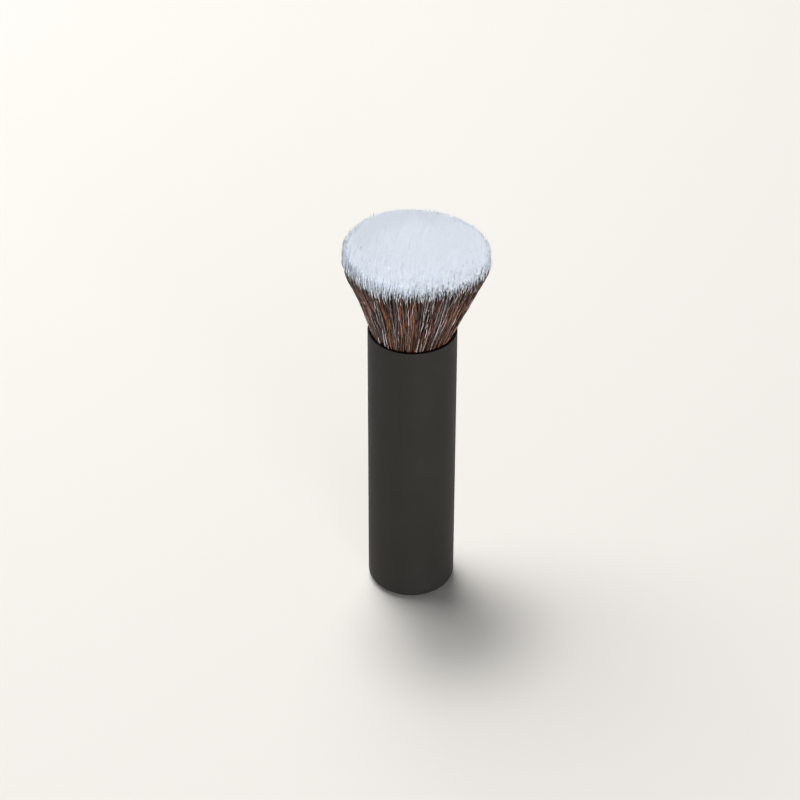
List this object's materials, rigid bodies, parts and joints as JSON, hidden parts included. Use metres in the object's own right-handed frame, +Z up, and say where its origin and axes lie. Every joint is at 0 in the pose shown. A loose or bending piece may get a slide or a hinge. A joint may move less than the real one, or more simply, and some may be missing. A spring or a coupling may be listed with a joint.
{
  "type": "buffing brush",
  "caption": "Stout round buffing brush: a dense flared tuft with pale dipped tips and a nearly flat crown, set in a straight matt black tube handle with a rounded closed base.",
  "frame": {"origin": "middle of the foot ring, on the surface that the brush stands on", "axes": "+Z up along the handle towards the tuft; -Y faces the picture's camera"},
  "size_m": [0.041, 0.041, 0.1154],
  "materials": {
    "handle_tube": "matt soft-touch black coat over drawn aluminium",
    "weight_pad": "closed-cell adhesive foam",
    "base_weight": "turned, bare",
    "inner_core": "moulded, bare",
    "ferrule_cup": "drawn, satin",
    "glue_bed": "set clear amber epoxy",
    "root_binding": "waxed thread",
    "tuft_hair": "dark brown and black synthetic fibre, tips dipped bluish white"
  },
  "bodies": {
    "root": {"handle_tube": "handle_tube", "weight_pad": "weight_pad", "base_weight": "base_weight", "inner_core": "inner_core", "ferrule_cup": "ferrule_cup", "glue_bed": "glue_bed", "root_binding": "root_binding", "tuft_centre": "tuft_hair", "tuft_inner": "tuft_hair", "tuft_middle": "tuft_hair", "tuft_outer": "tuft_hair"}
  },
  "joints": []
}
